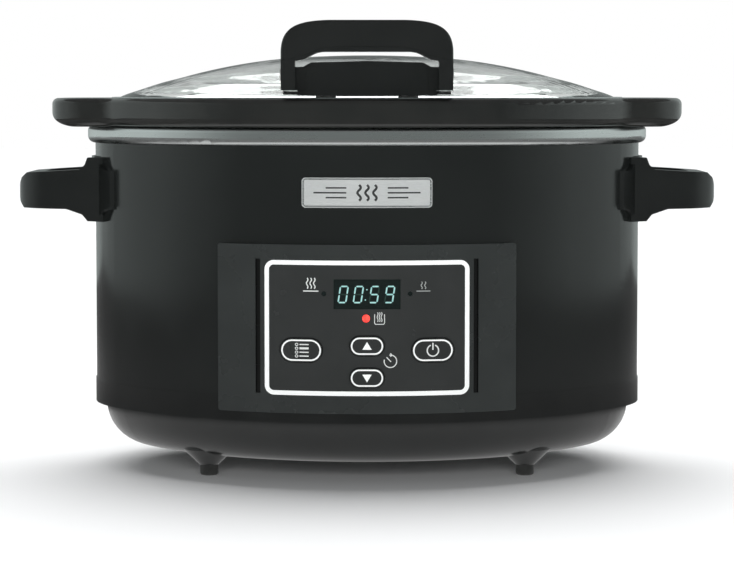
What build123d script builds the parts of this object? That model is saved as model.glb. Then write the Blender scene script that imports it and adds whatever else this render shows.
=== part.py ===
"""Oval electric slow cooker: heated base, lift-out stoneware bowl and rear-hinged glass lid.

Millimetres, +Z up, the front faces -Y. The model is laid out about the axis of the oval
and moved at the end so that its box stands centred on the origin.
"""

from build123d import *

import os
from math import atan, degrees, sqrt

# ---- driving dimensions: overall ----
BODY_WIDTH = 311.6  # across the ends of the oval wall
BODY_DEPTH = 246.0  # front to back of the oval wall
END_RADIUS = 85.0  # the tighter arcs at the two ends
FOOT_HEIGHT = 6.0
PAN_FLOOR = 11.6
SKIRT_LOW, SKIRT_TOP = 36.0, 49.4
RING_LOW, RIM_LOW, RIM_TOP = 184.0, 193.4, 209.4
HANDLE_REACH = 42.4  # from the wall to the tip of a side handle

# ---- driving dimensions: base ----
SHELL_WALL = 0.8
SKIRT_PROUD, SKIRT_WALL = 0.5, 1.6
PAN_INSET, PAN_WALL, PAN_RADIUS = 5.7, 2.2, 24.0
RING_PROUD, RING_UNDER, RING_SHEET, RING_INSET = 4.2, 4.0, 2.0, 18.0
WELL_INSET, WELL_SHEET, WELL_FLOOR = 24.0, 1.2, 40.0
BAND_LOW, BAND_HIGH, BAND_SHEET = 70.0, 130.0, 1.0
SLEEVE_LOW, SLEEVE_HIGH, SLEEVE_WALL = 62.0, 150.0, 3.6
SHIELD_Z, SHIELD_INSET = 34.2, 50.0
BOARD_Z, BOARD_SHEET = 20.0, 1.6
FOOT_X, FOOT_Y, FOOT_SWELL = 88.0, 62.0, 14.85
FIT = 0.1  # gap between neighbours of one body

# ---- driving dimensions: control panel ----
PANEL_WIDTH, PANEL_LOW, PANEL_HIGH, PANEL_PROUD = 161.0, 41.3, 131.8, 2.4
OUTLINE_WIDTH, OUTLINE_LOW, OUTLINE_HIGH, OUTLINE_STROKE = 109.7, 51.1, 123.4, 2.4
WINDOW_WIDTH, WINDOW_HEIGHT, WINDOW_Z = 35.5, 15.7, 105.5
OPENING_WIDTH, OPENING_LOW, OPENING_HIGH = 112.0, 52.5, 122.5
BUTTON_GAP, BUTTON_PROUD, BUTTON_TRAVEL = 0.4, 3.4, 0.8
BUTTONS = {  # centre x, centre z, width, height
    "button_mode": (-35.2, 75.4, 22.6, 12.7),
    "button_up": (0.0, 77.9, 18.5, 10.5),
    "button_down": (0.0, 60.8, 18.5, 10.5),
    "button_power": (35.2, 75.4, 22.6, 12.7),
}
DARK_LAMPS = [(-23.0, 105.7), (23.0, 105.7)]
READY_LAMP = (-0.5, 92.6)
GROOVE_X, GROOVE_WIDTH, GROOVE_LOW, GROOVE_HIGH = 58.5, 2.7, 51.7, 124.0
PLATE_WIDTH, PLATE_LOW, PLATE_HIGH = 69.6, 151.5, 167.5
DISPLAY_BOARD_Y = 15.0  # depth of the display board's face behind the wall's front

# ---- driving dimensions: side handles ----
GRIP_LOW, GRIP_HIGH, GRIP_BAR = 147.2, 168.8, 15.0
GRIP_REACH, GRIP_GAP, GRIP_CORNER = 34.0, 25.0, 22.0  # half depths of the loop and its gap
FLANGE_LOW, FLANGE_HIGH, FLANGE_PROUD = 139.4, 176.4, 2.2
FLANGE_HALF, FLANGE_EAR, FLANGE_END = 24.0, 42.0, 48.0

# ---- driving dimensions: bowl and lid ----
BOWL_INSET, BOWL_WALL, BOWL_DRAFT, BOWL_FLOOR, BOWL_RADIUS = 28.0, 7.0, 8.0, 44.0, 22.0
RIM_PROUD, LIP_REACH, LIP_HALF = 6.0, 22.4, 52.0
LIP_SWEEP, LIP_RISE = 14.0, 9.0  # how far the underside of a lip runs in, and how high it ends
SEAT_Z, SEAT_INSET, SEAT_INNER = 206.0, 8.8, 20.0
BAND_INSET, LID_BAND, LID_EDGE_TOP = 9.6, 0.8, 209.3
GLASS, DOME_TOP = 3.4, 233.6
HINGE_BACK, HINGE_Z, PIN_RADIUS, PIN_PLAY = 15.0, 219.5, 2.0, 0.06  # behind the wall, height
HINGE_WIDTH, HINGE_TOP = 130.0, 228.4
LOOP_WIDTH, LOOP_TOP, LOOP_LEG, LOOP_LOW = 91.4, 251.0, 7.6, 213.8
PEDESTAL_LOW, PEDESTAL_TOP, PEDESTAL_BASE, PEDESTAL_HEAD = 211.0, 229.5, 75.0, 68.0

HALF_W, HALF_D = BODY_WIDTH / 2, BODY_DEPTH / 2
HANDLE_TIP = HALF_W + HANDLE_REACH
LIP_SPAN = BODY_WIDTH + 2 * LIP_REACH
HINGE_Y = HALF_D + HINGE_BACK
END_X = HALF_W - END_RADIUS
SIDE_RADIUS = (END_X**2 + HALF_D**2 - END_RADIUS**2) / (2 * (HALF_D - END_RADIUS))
SIDE_Y = SIDE_RADIUS - HALF_D
LOW = Align.MIN
MID = Align.CENTER


# ---- helpers ----
def oval(t):
    """The body's outline moved outward by t: four tangent arcs."""
    run = (END_RADIUS + t) / (SIDE_RADIUS - END_RADIUS)
    x, y = END_X + END_X * run, SIDE_Y * run
    w, d = HALF_W + t, HALF_D + t
    arcs = [
        ThreePointArc((x, -y), (w, 0), (x, y)),
        ThreePointArc((x, y), (0, d), (-x, y)),
        ThreePointArc((-x, y), (-w, 0), (-x, -y)),
        ThreePointArc((-x, -y), (0, -d), (x, -y)),
    ]
    return make_face(arcs)


def prism(t, z0, z1):
    return extrude(Pos(0, 0, z0) * oval(t), z1 - z0)


def wall(t_out, t_in, z0, z1):
    return prism(t_out, z0, z1) - prism(t_in, z0 - 1, z1 + 1)


def cup(t, z0, z1, radius):
    body = prism(t, z0, z1)
    return fillet(body.edges().group_by(Axis.Z)[0], radius)


def tapered_cup(t, draft, z0, z1, radius):
    """A cup whose wall leans out by draft from its floor to its top."""
    lean = degrees(atan(draft / (z1 - z0)))
    body = extrude(Pos(0, 0, z0) * oval(t - draft), z1 - z0, taper=-lean)
    return fillet(body.edges().group_by(Axis.Z)[0], radius)


def block(x0, x1, y0, y1, z0, z1):
    return Pos(x0, y0, z0) * Box(x1 - x0, y1 - y0, z1 - z0, align=(LOW, LOW, LOW))


def post(x, y, z0, z1, radius):
    return Pos(x, y, z0) * Cylinder(radius, z1 - z0, align=(MID, MID, LOW))


def rod_y(x, z, y0, y1, radius):
    """A round bar along Y, from y0 back to y1."""
    return Pos(x, y0, z) * Rot(-90, 0, 0) * Cylinder(radius, y1 - y0, align=(MID, MID, LOW))


def rod_x(y, z, x0, x1, radius):
    return Pos(x0, y, z) * Rot(0, 90, 0) * Cylinder(radius, x1 - x0, align=(MID, MID, LOW))


def toward_front(sketch, reach=HALF_D + 30):
    """A sketch drawn in x and z, pushed from the mid plane out past the front."""
    return extrude(Plane.XZ * sketch, reach)


def facing(sketch, t_out, t_in):
    """A skin piece that follows the front wall between two offsets of the oval."""
    box = sketch.bounding_box()
    return wall(t_out, t_in, box.min.Y - 1, box.max.Y + 1) & toward_front(sketch)


def tube(points, radius, bend=2.5):
    """A round lead along straight runs with rounded bends."""
    path = FilletPolyline(*points, radius=bend)
    ring = Plane(origin=path @ 0, z_dir=path % 0) * Circle(radius)
    return sweep(ring, path=path)


def front_y(x, t=0.0):
    """Y of the front wall, moved out by t, at a distance x from the middle."""
    return SIDE_Y - sqrt((SIDE_RADIUS + t) ** 2 - x**2)


def four_ways(x, y):
    return [(sx * x, sy * y) for sx in (-1, 1) for sy in (-1, 1)]


def pieces(items):
    return Compound([s for item in items for s in item.solids()])


# ---- base: wall, ring, skirt, pan ----
def panel_openings():
    sketch = Pos(0, (OPENING_LOW + OPENING_HIGH) / 2) * Rectangle(
        OPENING_WIDTH, OPENING_HIGH - OPENING_LOW
    )
    return toward_front(sketch)


GLAND_Z, GLAND_BORE, GLAND_BODY = 66.0, 3.6, 7.0
GRIP_LEG = (GRIP_REACH + GRIP_GAP) / 2
GRIP_SCREWS = [(side, y) for side in (-1, 1) for y in (-GRIP_LEG, GRIP_LEG)]
GRIP_MID = (GRIP_LOW + GRIP_HIGH) / 2


def grip_screw_line(side, y, x0, x1, radius):
    ends = sorted((side * x0, side * x1))
    return rod_x(y, GRIP_MID, ends[0], ends[1], radius)


def outer_shell():
    body = wall(0, -SHELL_WALL, SKIRT_TOP, RIM_LOW - RING_SHEET) - panel_openings()
    body -= rod_y(0, GLAND_Z, HALF_D - 10, HALF_D + 10, GLAND_BODY + FIT)
    for side, y in GRIP_SCREWS:
        body -= grip_screw_line(side, y, HALF_W - 30, HALF_W, 2.6)
    return body


def collar_ring():
    bead = prism(RING_PROUD, RING_LOW, RIM_LOW)
    bead = fillet(bead.edges().group_by(Axis.Z)[0], RING_UNDER)
    bead = fillet(bead.edges().group_by(Axis.Z)[-1], 2.4)
    bead -= prism(FIT, RING_LOW - 1, RIM_LOW + 1)
    return bead + wall(1.0, -RING_INSET, RIM_LOW - RING_SHEET, RIM_LOW)


def heating_well():
    z1 = RIM_LOW - RING_SHEET
    shell = cup(-WELL_INSET, WELL_FLOOR, z1, 18.0)
    shell -= cup(-WELL_INSET - WELL_SHEET, WELL_FLOOR + WELL_SHEET, z1 + 1, 18.0 - WELL_SHEET)
    return shell + wall(-16.0, -WELL_INSET - WELL_SHEET, z1 - WELL_SHEET, z1)


BAND_OUT = -WELL_INSET + FIT + BAND_SHEET
LUG_X, LUG_REACH = 6.0, 7.0


def heater_band():
    strap = wall(BAND_OUT, -WELL_INSET + FIT, BAND_LOW, BAND_HIGH)
    strap -= block(-LUG_X, LUG_X, 0, HALF_D, BAND_LOW - 1, BAND_HIGH + 1)
    back = HALF_D + BAND_OUT
    lug = block(LUG_X, LUG_X + BAND_SHEET, back - BAND_SHEET, back + LUG_REACH, 88, 112)
    lug -= rod_x(back + LUG_REACH / 2, 100, 0, LUG_X * 2, 1.7)
    return strap + lug + mirror(lug, about=Plane.YZ)


def band_clamp_screw():
    y = HALF_D + BAND_OUT + LUG_REACH / 2
    reach = LUG_X + BAND_SHEET
    shaft = rod_x(y, 100, -reach - 3, reach + 3, 1.6)
    head = rod_x(y, 100, reach, reach + 2, 3.0)
    nut = Pos(-reach - 2.2, y, 100) * Rot(0, 90, 0) * extrude(RegularPolygon(3.2, 6), 2.2)
    return shaft + head + nut


def insulation_sleeve():
    inner = BAND_OUT + FIT
    sleeve = wall(inner + SLEEVE_WALL, inner, SLEEVE_LOW, SLEEVE_HIGH)
    return sleeve - block(-14, 14, 0, HALF_D, SLEEVE_LOW - 1, SLEEVE_HIGH + 1)


STUD = 3.0


def heat_shield():
    plate = prism(-SHIELD_INSET, SHIELD_Z, SHIELD_Z + 0.8)
    plate -= post(0, 0, SHIELD_Z - 1, SHIELD_Z + 2, STUD + FIT)
    return plate - post(SENSOR_X, 0, SHIELD_Z - 1, SHIELD_Z + 2, 9.0)


def centre_stud():
    return post(0, 0, 5.6 + FIT, WELL_FLOOR, STUD) + post(
        0, 0, SHIELD_Z + 0.8, WELL_FLOOR, 7.0
    )


def centre_nut():
    nut = Pos(0, 0, PAN_FLOOR - 5) * extrude(RegularPolygon(5.8, 6), 3.6)
    washer = post(0, 0, PAN_FLOOR - 1.4, PAN_FLOOR, 8.0)
    return nut + washer - post(0, 0, 0, PAN_FLOOR + 1, STUD)


BOSS_X, BOSS_Y, BOSS_R = 95.0, 45.0, 4.0


def base_skirt():
    body = wall(SKIRT_PROUD, -SKIRT_WALL, SKIRT_LOW, SKIRT_TOP)
    body += wall(-SKIRT_WALL + 0.5, -9.0, SKIRT_LOW, SKIRT_LOW + 2.2)
    for x, y in four_ways(BOSS_X, BOSS_Y):
        x0, x1 = sorted((x, x * 1.6))
        arm = block(x0, x1, y - 2, y + 2, SKIRT_LOW, SKIRT_LOW + 4)
        body += arm & prism(-SKIRT_WALL + 0.5, 0, SKIRT_TOP)
        body += post(x, y, PAN_FLOOR + PAN_WALL, SKIRT_LOW + 4, BOSS_R)
        body -= post(x, y, PAN_FLOOR, SKIRT_LOW - 4, 1.5)
    return body


def base_pan():
    outer = cup(-PAN_INSET, PAN_FLOOR, SKIRT_LOW, PAN_RADIUS)
    for x, y in four_ways(FOOT_X, FOOT_Y):
        outer += Pos(x, y, FOOT_HEIGHT) * Cone(5.5, FOOT_SWELL, 9, align=(MID, MID, LOW))
        outer += post(x, y, FOOT_HEIGHT + 9, FOOT_HEIGHT + 12, FOOT_SWELL)
    inner = cup(
        -PAN_INSET - PAN_WALL, PAN_FLOOR + PAN_WALL, SKIRT_LOW + 1, PAN_RADIUS - PAN_WALL
    )
    body = outer - inner
    for x, y in four_ways(FOOT_X, FOOT_Y):
        body -= post(x, y, 0, PAN_FLOOR + 1, 3.0 + FIT / 2)
    for x, y in BOARD_POSTS:
        body += post(x, y, PAN_FLOOR + PAN_WALL - 0.5, BOARD_Z, 3.2)
        body -= post(x, y, PAN_FLOOR + PAN_WALL, BOARD_Z + 1, 1.2)
    for x, y in four_ways(BOSS_X, BOSS_Y):
        body -= post(x, y, 0, 40, 1.9)
    for x in range(-4, 5):
        slot = SlotOverall(26, 3)
        for y in (-40, 40):
            body -= Pos(x * 9.0, y, 0) * extrude(Rot(0, 0, 90) * slot, PAN_FLOOR + PAN_WALL + 2)
    return body - post(0, 0, 0, 40, STUD + FIT)


def base_screws():
    z = PAN_FLOOR
    return pieces(
        post(x, y, z - 2, z, 3.6) + post(x, y, z, z + 14, 1.5)
        for x, y in four_ways(BOSS_X, BOSS_Y)
    )


def rubber_feet():
    feet = []
    for x, y in four_ways(FOOT_X, FOOT_Y):
        pad = post(x, y, 0, FOOT_HEIGHT, 5.1)
        pad = fillet(pad.edges().group_by(Axis.Z)[0], 1.6)
        feet.append(pad + post(x, y, FOOT_HEIGHT, PAN_FLOOR, 3.0))
    return pieces(feet)


# ---- base: side handles ----
def grip_profile():
    """The grip from the front: it tapers to its tip and flares into its plate."""
    tip, wall_x = HANDLE_TIP, HALF_W
    top = [
        (wall_x - 12, FLANGE_HIGH), (wall_x + 1.9, FLANGE_HIGH - 0.6), (wall_x + 3.4, GRIP_HIGH + 3),
        (wall_x + 6.4, GRIP_HIGH + 0.4), (tip - 5.5, GRIP_HIGH - 1.4), (tip - 2.0, GRIP_HIGH - 4.4),
    ]
    low = [
        (tip - 1.0, GRIP_LOW + 3.4), (tip - 3.5, GRIP_LOW + 0.2), (wall_x + 14, GRIP_LOW - 0.3),
        (wall_x + 5, GRIP_LOW - 3.4), (wall_x + 1.9, FLANGE_LOW + 0.6), (wall_x - 12, FLANGE_LOW),
    ]
    tip_arc = ThreePointArc(top[-1], (tip, GRIP_MID - 0.5), low[0])
    return make_face([Polyline(*top), tip_arc, Polyline(*low, top[0])])


def grip_plate():
    mid, ear = (FLANGE_LOW + FLANGE_HIGH) / 2, (GRIP_HIGH - GRIP_LOW) / 2
    half = (FLANGE_HIGH - FLANGE_LOW) / 2
    corner = [(FLANGE_HALF, half), (FLANGE_EAR, ear), (FLANGE_END, ear)]
    right = corner + [(y, -z) for y, z in reversed(corner)]
    points = right + [(-y, -z) for y, z in right]
    shape = make_face(Polyline(*points, points[0]))
    plate = extrude(Plane.YZ * Pos(0, mid) * shape, HANDLE_TIP)
    return plate & wall(FLANGE_PROUD, FIT, FLANGE_LOW, FLANGE_HIGH)


def side_handle(side):
    """A D-shaped grip that flares into an eight-sided plate round the end of the wall."""
    tip, root = HANDLE_TIP, HALF_W - 12
    outer = RectangleRounded(2 * (tip - root), 2 * GRIP_REACH, GRIP_CORNER)
    gap = RectangleRounded(2 * (tip - GRIP_BAR - root), 2 * GRIP_GAP, GRIP_CORNER - 9)
    loop = Pos(root, 0, FLANGE_LOW) * extrude(outer - gap, FLANGE_HIGH - FLANGE_LOW)
    profile = extrude(Plane.XZ * grip_profile(), GRIP_REACH + 1, both=True)
    body = (loop & profile) - prism(FIT, FLANGE_LOW - 1, FLANGE_HIGH + 1) + grip_plate()
    for y in (-GRIP_LEG, GRIP_LEG):
        body -= grip_screw_line(1, y, HALF_W - 30, HALF_W + 6, 1.6)
    return body if side > 0 else mirror(body, about=Plane.YZ)


def side_handle_screws():
    made = []
    for side, y in GRIP_SCREWS:
        inside = END_X + sqrt((END_RADIUS - SHELL_WALL) ** 2 - y**2)
        head = grip_screw_line(side, y, inside - 7, inside - 2.9, 4.0)
        made.append(head + grip_screw_line(side, y, inside - 3, HALF_W + 4, 1.6))
    return pieces(made)


# ---- base: control panel ----
def rounded(width, z0, z1, radius, grow=0.0):
    return Pos(0, (z0 + z1) / 2) * RectangleRounded(
        width + 2 * grow, z1 - z0 + 2 * grow, radius + grow
    )


def button_shape(name, grow=0.0):
    x, z, width, height = BUTTONS[name]
    return Pos(x, z) * SlotOverall(width + 2 * grow, height + 2 * grow)


def dot(x, z, radius):
    return Pos(x, z) * Circle(radius)


def window_shape(grow=0.0):
    return Pos(0, WINDOW_Z) * Rectangle(WINDOW_WIDTH + 2 * grow, WINDOW_HEIGHT + 2 * grow)


BOARD_FRONT = -HALF_D + DISPLAY_BOARD_Y
PEGS = [(x, z) for x in (-49.0, 49.0) for z in (58.0, 117.0)]
FILM = 0.3
LAMP = 1.3


def control_bezel():
    shape = rounded(PANEL_WIDTH, PANEL_LOW, PANEL_HIGH, 1.5)
    body = facing(shape, PANEL_PROUD, FIT)
    body -= wall(SKIRT_PROUD + FIT, -5, SKIRT_LOW - 10, SKIRT_TOP + FIT)
    for x in (-GROOVE_X, GROOVE_X):
        groove = Pos(x, (GROOVE_LOW + GROOVE_HIGH) / 2) * Rectangle(
            GROOVE_WIDTH, GROOVE_HIGH - GROOVE_LOW
        )
        body -= facing(groove, PANEL_PROUD + 1, PANEL_PROUD - 0.9)
    body -= facing(
        rounded(OUTLINE_WIDTH, OUTLINE_LOW, OUTLINE_HIGH, 5.0, 0.05),
        PANEL_PROUD + 1,
        PANEL_PROUD - FILM,
    )
    body -= toward_front(window_shape(FIT))
    for name in BUTTONS:
        body -= toward_front(button_shape(name, BUTTON_GAP))
    for x, z in DARK_LAMPS:
        body -= toward_front(dot(x, z, LAMP + FIT / 2))
    body -= toward_front(dot(*READY_LAMP, 2.0 + FIT / 2))
    for x, z in PEGS:
        peg = rod_y(x, z, front_y(x) - 0.4, BOARD_FRONT, 3.0)
        body += peg - rod_y(x, z, BOARD_FRONT - 5, BOARD_FRONT + 1, 1.1)
    for x in (-30.0, 30.0):
        for edge, out in ((OPENING_LOW, -1), (OPENING_HIGH, 1)):
            stem = Pos(x, edge - out * 1.4) * Rectangle(8, 2.2)
            barb = Pos(x, edge + out * 0.5) * Rectangle(8, 6.0 - 1.0)
            body += facing(stem, 0.6, -3.4) + facing(barb, -SHELL_WALL - FIT, -3.4)
    return body


def overlay_shape():
    inner = rounded(
        OUTLINE_WIDTH - 2 * OUTLINE_STROKE,
        OUTLINE_LOW + OUTLINE_STROKE,
        OUTLINE_HIGH - OUTLINE_STROKE,
        5.0 - OUTLINE_STROKE,
    )
    shape = inner - window_shape(FIT)
    for name in BUTTONS:
        shape -= button_shape(name, BUTTON_GAP)
    for x, z in DARK_LAMPS:
        shape -= dot(x, z, LAMP + FIT / 2)
    return shape - dot(*READY_LAMP, 2.0 + FIT / 2)


def panel_overlay():
    return facing(overlay_shape(), PANEL_PROUD, PANEL_PROUD - FILM)


def panel_outline():
    frame = rounded(OUTLINE_WIDTH, OUTLINE_LOW, OUTLINE_HIGH, 5.0) - rounded(
        OUTLINE_WIDTH - 2 * OUTLINE_STROKE,
        OUTLINE_LOW + OUTLINE_STROKE,
        OUTLINE_HIGH - OUTLINE_STROKE,
        5.0 - OUTLINE_STROKE,
        0.03,
    )
    return facing(frame, PANEL_PROUD + 0.1, PANEL_PROUD - FILM)


def display_window():
    return facing(window_shape(), PANEL_PROUD - 0.2, 0.2)


def display_module():
    y1 = BOARD_FRONT
    return block(-17, 17, y1 - 8, y1, WINDOW_Z - 7, WINDOW_Z + 7)


def display_board():
    board = block(-53, 53, BOARD_FRONT, BOARD_FRONT + BOARD_SHEET, 54, 121)
    for x, z in PEGS:
        board -= rod_y(x, z, BOARD_FRONT - 1, BOARD_FRONT + 3, 1.4)
    return board


def display_board_screws():
    back = BOARD_FRONT + BOARD_SHEET
    return pieces(
        rod_y(x, z, back, back + 1.6, 2.4) + rod_y(x, z, back - 6, back, 1.1) for x, z in PEGS
    )


def indicator_lenses():
    return pieces(
        rod_y(x, z, front_y(x, PANEL_PROUD), BOARD_FRONT, LAMP) for x, z in DARK_LAMPS
    )


def ready_lens():
    x, z = READY_LAMP
    return rod_y(x, z, front_y(x, PANEL_PROUD) - 0.2, BOARD_FRONT, 2.0)


FLANGE_BACK = -2.4  # offset of the button flange's back face


def push_button(name):
    """An oval cap proud of the panel, its retaining flange and its stem."""
    left, z, width, height = BUTTONS[name]
    x = abs(left)
    face = Pos(x, z) * SlotOverall(width, height)
    cap = facing(face, BUTTON_PROUD, -0.6)
    rim = [e for e in cap.edges() if e.center().Y < front_y(x, PANEL_PROUD) - 0.3]
    cap = fillet(rim, 0.5)
    cap += facing(Pos(x, z) * SlotOverall(width + 2.4, height + 2.4), -0.5, FLANGE_BACK)
    stem_end = BOARD_FRONT - SWITCH_HIGH - BUTTON_TRAVEL - 0.3
    button = cap + rod_y(x, z, front_y(x) + 1, stem_end, 1.9)
    return mirror(button, about=Plane.YZ) if left < 0 else button


SWITCH_HIGH = 5.0


def tact_switches():
    made = []
    for x, z, _, _ in BUTTONS.values():
        case = block(x - 3, x + 3, BOARD_FRONT - 3.5, BOARD_FRONT, z - 3, z + 3)
        made.append(case + rod_y(x, z, BOARD_FRONT - SWITCH_HIGH, BOARD_FRONT - 3, 1.7))
    return pieces(made)


def nameplate():
    return facing(rounded(PLATE_WIDTH, PLATE_LOW, PLATE_HIGH, 2.0), 1.0, FIT)


# ---- base: electronics ----
BOARD_X, BOARD_HALF_X, BOARD_HALF_Y = -60.0, 42.0, 30.0
BOARD_POSTS = [
    (BOARD_X + sx * (BOARD_HALF_X - 5), sy * (BOARD_HALF_Y - 5)) for sx in (-1, 1) for sy in (-1, 1)
]
BOARD_TOP = BOARD_Z + BOARD_SHEET
SENSOR_X, TERMINAL_X = 45.0, -31.0


def main_board():
    board = block(
        BOARD_X - BOARD_HALF_X, BOARD_X + BOARD_HALF_X, -BOARD_HALF_Y, BOARD_HALF_Y, BOARD_Z, BOARD_TOP
    )
    for x, y in BOARD_POSTS:
        board -= post(x, y, BOARD_Z - 1, BOARD_TOP + 1, 1.5)
    return board


def main_board_screws():
    return pieces(
        post(x, y, BOARD_TOP, BOARD_TOP + 1.8, 2.6) + post(x, y, BOARD_Z - 4, BOARD_TOP, 1.2)
        for x, y in BOARD_POSTS
    )


def transformer():
    core = block(-95, -69, -12, 12, BOARD_TOP, BOARD_TOP + 9)
    return core + block(-90, -74, -15, 15, BOARD_TOP + 1, BOARD_TOP + 11)


def relay():
    case = block(-60, -41, -14, 2, BOARD_TOP, BOARD_TOP + 11)
    return fillet(case.edges().group_by(Axis.Z)[-1], 0.8)


def capacitors():
    tall = [post(x, y, BOARD_TOP, BOARD_TOP + 10.5, 4.0) for x, y in ((-63, 16), (-53, 18))]
    return pieces(tall + [block(-50, -38, 4, 10, BOARD_TOP, BOARD_TOP + 9)])


def terminal_block():
    case = block(TERMINAL_X - 5, TERMINAL_X + 5, -18, 18, BOARD_TOP, BOARD_TOP + 8)
    for y in (-12, -4, 4, 12):
        case -= post(TERMINAL_X, y, BOARD_TOP + 4, BOARD_TOP + 9, 2.2)
    return case


def temperature_sensor():
    return post(SENSOR_X, 0, WELL_FLOOR - 5, WELL_FLOOR, 6.0) + post(
        SENSOR_X, 0, WELL_FLOOR - 9, WELL_FLOOR - 5, 2.5
    )


def sensor_spring():
    z0, z1, wire = PAN_FLOOR + PAN_WALL, WELL_FLOOR - 5, 0.6
    helix = Pos(SENSOR_X, 0, z0 + wire) * Helix(3.2, z1 - z0 - 2 * wire, 3.6)
    ring = Plane(origin=helix @ 0, z_dir=helix % 0) * Circle(wire)
    return sweep(ring, path=helix, is_frenet=True)


def thermal_fuse():
    z = WELL_FLOOR - 2.2
    return rod_x(-30, z, 20, 34, 2.2) + rod_x(-30, z, 16, 38, 0.6)


LEAD_Z = BOARD_TOP + 9.5  # height of the loose wiring, under the heat shield
CLAMP_Z = BOARD_TOP + 4.05


def heater_leads():
    y = HALF_D + BAND_OUT
    leads = []
    for x, land in ((10.0, 4.0), (-10.0, 12.0)):
        points = [
            (x, y, BAND_LOW), (x, y, BAND_LOW - 24), (x * 0.9, y - 16, LEAD_Z),
            (TERMINAL_X, land, LEAD_Z), (TERMINAL_X, land, CLAMP_Z),
        ]
        leads.append(tube(points, 0.9))
    return pieces(leads)


def ribbon_cable():
    y = BOARD_FRONT + BOARD_SHEET / 2
    strands = []
    for step in (-2.4, -0.8, 0.8, 2.4):
        x = -20 + step
        points = [
            (x, y, 54), (x, y, 40), (x, y + 12, LEAD_Z - 1), (x - 34, -24, LEAD_Z - 1),
            (x - 34, -24, BOARD_TOP + 0.05),
        ]
        strands.append(tube(points, 0.7))
    return pieces(strands)


def sensor_leads():
    side, z = SENSOR_X - 6.05, WELL_FLOOR - 2.5
    points = [
        (side, 0, z), (side - 1.6, 0, z), (side - 1.6, 0, LEAD_Z), (10, -14, LEAD_Z),
        (TERMINAL_X, -12, LEAD_Z), (TERMINAL_X, -12, CLAMP_Z),
    ]
    return tube(points, 0.7, bend=1.2)


def cord_gland():
    y = HALF_D
    body = rod_y(0, GLAND_Z, y - 9, y + 4, GLAND_BODY)
    collar = rod_y(0, GLAND_Z, y + FIT, y + 4, 10.0)
    body += fillet(collar.edges().group_by(Axis.Y)[-1], 1.2)
    return body - rod_y(0, GLAND_Z, y - 12, y + 8, GLAND_BORE)


def gland_nut():
    y = HALF_D - SHELL_WALL
    nut = Pos(0, y - 4.5, GLAND_Z) * Rot(-90, 0, 0) * extrude(RegularPolygon(10.5, 6), 4)
    return nut - rod_y(0, GLAND_Z, y - 9, y + 1, GLAND_BODY)


# ---- bowl ----
def cavity():
    inset = BOWL_INSET + BOWL_WALL
    deep = tapered_cup(-inset, BOWL_DRAFT, BOWL_FLOOR + BOWL_WALL + 1.5, 197.0, 18.0)
    lean = degrees(atan((inset - SEAT_INNER) / (SEAT_Z - 195.0)))
    flare = extrude(Pos(0, 0, 195.0) * oval(-inset), SEAT_Z - 195.0, taper=-lean)
    return deep + flare + prism(-SEAT_INNER, SEAT_Z - 0.01, RIM_TOP + 1)


def lip_underside():
    """What is taken off below one lip, so that it sweeps up to its tip."""
    tip, high, low = LIP_SPAN / 2, RIM_LOW + LIP_RISE, RIM_LOW
    sweep_line = Bezier(
        (tip, high), (tip - 0.4, high - 5), (tip - LIP_SWEEP * 0.45, low + 0.6), (tip - LIP_SWEEP, low)
    )
    start, under = tip - LIP_SWEEP, low - 1
    outside = Polyline((start, low), (start, under), (tip + 1, under), (tip + 1, high), (tip, high))
    return extrude(Plane.XZ * make_face(sweep_line + outside), LIP_HALF + 10, both=True)


TAB_HALF, TAB_BACK, TAB_LOW = 46.0, HALF_D + 13.0, 198.0


def stoneware_bowl():
    plan = oval(RIM_PROUD) + RectangleRounded(LIP_SPAN, 2 * LIP_HALF, 30)
    rim = extrude(Pos(0, 0, RIM_LOW) * plan, RIM_TOP - RIM_LOW)
    corners = [
        e for e in rim.edges().filter_by(Axis.Z)
        if abs(e.center().X) < LIP_SPAN / 2 - 12 and abs(abs(e.center().Y) - LIP_HALF) < 25
    ]
    rim = fillet(corners, 14.0)
    for group, radius in ((0, 5.0), (-1, 3.5)):
        rim = fillet(rim.edges().group_by(Axis.Z)[group], radius)
    rim -= lip_underside() + mirror(lip_underside(), about=Plane.YZ)
    body = tapered_cup(-BOWL_INSET, BOWL_DRAFT, BOWL_FLOOR, RIM_LOW + 2, BOWL_RADIUS)
    tab = block(-TAB_HALF, TAB_HALF, HALF_D - 4, TAB_BACK, TAB_LOW, RIM_TOP)
    body += rim + tab
    body -= cavity() + prism(-SEAT_INSET, SEAT_Z, RIM_TOP + 1)
    for x in (-20.0, 20.0):
        body -= rod_y(x, 203.5, TAB_BACK - 7, TAB_BACK + 1, 1.7)
    return body


CLIP_HALF, CLIP = 44.0, 3.0
EARS = (28.5, 40.0)


def hinge_bracket():
    """A channel over the bowl's rear tab, carrying two ears for the hinge pin."""
    back = TAB_BACK + CLIP
    top = block(-CLIP_HALF, CLIP_HALF, HALF_D + RIM_PROUD - 1, back, RIM_TOP, RIM_TOP + CLIP)
    spine = block(-CLIP_HALF, CLIP_HALF, TAB_BACK, back, TAB_LOW - CLIP, RIM_TOP + CLIP)
    hook = block(-CLIP_HALF, CLIP_HALF, TAB_BACK - 4.5, back, TAB_LOW - CLIP, TAB_LOW)
    body = top + spine + hook
    for side in (-1, 1):
        x0, x1 = sorted((side * EARS[0], side * EARS[1]))
        body += rod_x(HINGE_Y, HINGE_Z, x0, x1, 6.5)
        body += block(x0, x1, HINGE_Y - 6.5, HINGE_Y + 5, RIM_TOP + 1, HINGE_Z)
    body -= rod_x(HINGE_Y, HINGE_Z, -EARS[1] - 1, EARS[1] + 1, PIN_RADIUS)
    for x in (-20.0, 20.0):
        body -= rod_y(x, 203.5, TAB_BACK - 1, back + 1, 1.8)
    return body


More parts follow.
